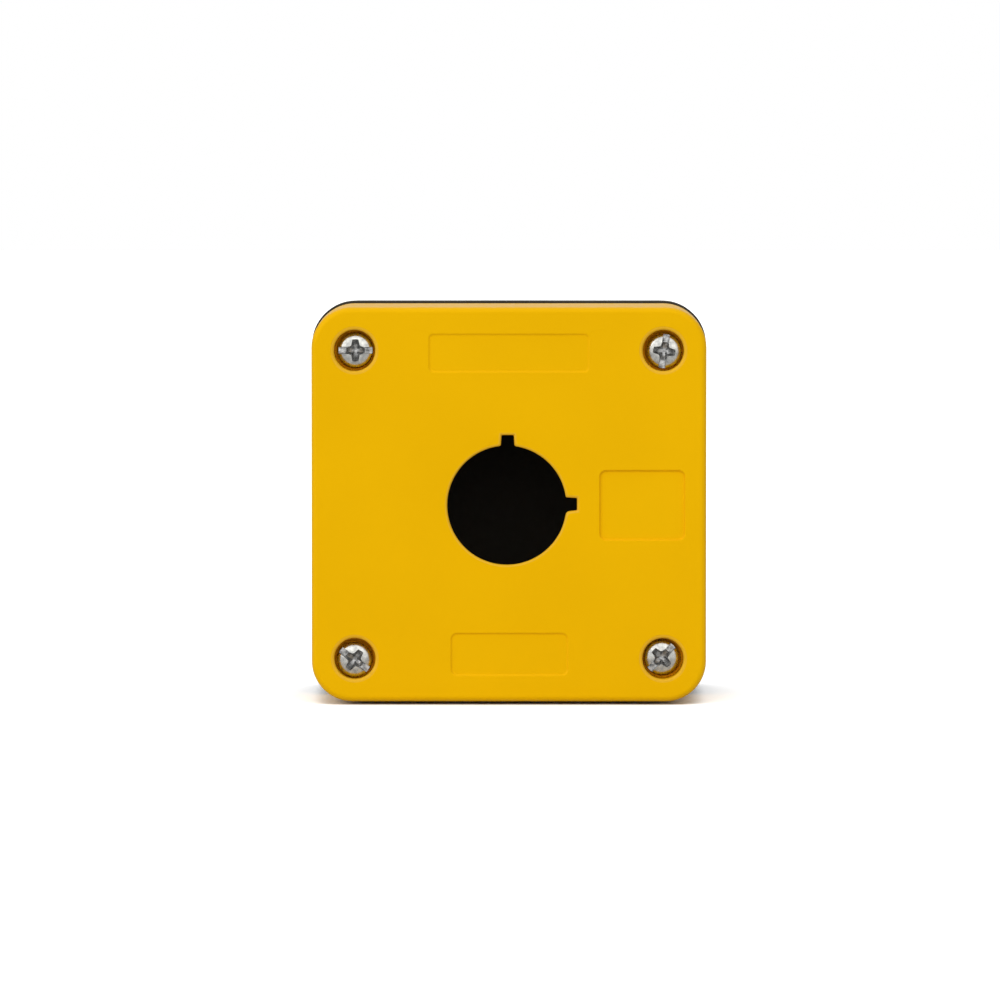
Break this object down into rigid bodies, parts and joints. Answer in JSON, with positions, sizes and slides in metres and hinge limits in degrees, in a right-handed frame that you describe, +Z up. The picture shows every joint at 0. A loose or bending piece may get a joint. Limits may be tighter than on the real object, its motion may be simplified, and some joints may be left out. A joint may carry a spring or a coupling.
{
  "type": "control station enclosure",
  "caption": "Square wall box for a push button: drafted cover with a keyed 22.3 mm hole and label fields, sealed housing, captive corner screws.",
  "frame": {"origin": "bottom centre of the closed box, on the surface it stands on", "axes": "+X to the right seen from the front, -Y out of the device face, +Y into the wall, +Z up"},
  "size_m": [0.0752, 0.053, 0.0752],
  "materials": {
    "cover_yellow": "satin moulded, fine grain",
    "housing_charcoal": "fine moulded texture",
    "seal_rubber": "black elastomer",
    "zinc_steel": "bright zinc plated",
    "natural_nylon": "natural nylon",
    "brass": "machined"
  },
  "bodies": {
    "housing": {"rear_housing": "housing_charcoal", "mounting_plug_upper": "seal_rubber", "mounting_plug_lower": "seal_rubber", "threaded_insert_upper_left": "brass", "threaded_insert_upper_right": "brass", "threaded_insert_lower_left": "brass", "threaded_insert_lower_right": "brass"},
    "cover": {"front_cover": "cover_yellow", "cover_gasket": "seal_rubber", "captive_washer_upper_left": "natural_nylon", "captive_washer_upper_right": "natural_nylon", "captive_washer_lower_left": "natural_nylon", "captive_washer_lower_right": "natural_nylon"},
    "seal_upper_left": {"screw_seal_upper_left": "seal_rubber"},
    "screw_upper_left": {"cover_screw_upper_left": "zinc_steel"},
    "seal_upper_right": {"screw_seal_upper_right": "seal_rubber"},
    "screw_upper_right": {"cover_screw_upper_right": "zinc_steel"},
    "seal_lower_left": {"screw_seal_lower_left": "seal_rubber"},
    "screw_lower_left": {"cover_screw_lower_left": "zinc_steel"},
    "seal_lower_right": {"screw_seal_lower_right": "seal_rubber"},
    "screw_lower_right": {"cover_screw_lower_right": "zinc_steel"}
  },
  "joints": [
    {"name": "cover_lift", "type": "slide", "parent": "housing", "child": "cover", "axis": [0, -1, 0], "range_m": [0, 0.06]},
    {"name": "screw_advance_upper_left", "type": "slide", "parent": "cover", "child": "seal_upper_left", "axis": [0, -1, 0], "range_m": [0, 0.009]},
    {"name": "screw_turn_upper_left", "type": "hinge", "parent": "seal_upper_left", "child": "screw_upper_left", "pos_m": [-0.02875, -0.0255, 0.0665], "axis": [0, -1, 0], "range_deg": [0, 5400]},
    {"name": "screw_advance_upper_right", "type": "slide", "parent": "cover", "child": "seal_upper_right", "axis": [0, -1, 0], "range_m": [0, 0.009]},
    {"name": "screw_turn_upper_right", "type": "hinge", "parent": "seal_upper_right", "child": "screw_upper_right", "pos_m": [0.02908, -0.0255, 0.06635], "axis": [0, -1, 0], "range_deg": [0, 5400]},
    {"name": "screw_advance_lower_left", "type": "slide", "parent": "cover", "child": "seal_lower_left", "axis": [0, -1, 0], "range_m": [0, 0.009]},
    {"name": "screw_turn_lower_left", "type": "hinge", "parent": "seal_lower_left", "child": "screw_lower_left", "pos_m": [-0.02899, -0.0255, 0.0084], "axis": [0, -1, 0], "range_deg": [0, 5400]},
    {"name": "screw_advance_lower_right", "type": "slide", "parent": "cover", "child": "seal_lower_right", "axis": [0, -1, 0], "range_m": [0, 0.009]},
    {"name": "screw_turn_lower_right", "type": "hinge", "parent": "seal_lower_right", "child": "screw_lower_right", "pos_m": [0.02863, -0.0255, 0.00882], "axis": [0, -1, 0], "range_deg": [0, 5400]}
  ],
  "couplings": [
    {"joint": "screw_turn_upper_left", "follows": "screw_advance_upper_left", "rad_per_m": 10472},
    {"joint": "screw_turn_upper_right", "follows": "screw_advance_upper_right", "rad_per_m": 10472},
    {"joint": "screw_turn_lower_left", "follows": "screw_advance_lower_left", "rad_per_m": 10472},
    {"joint": "screw_turn_lower_right", "follows": "screw_advance_lower_right", "rad_per_m": 10472}
  ]
}
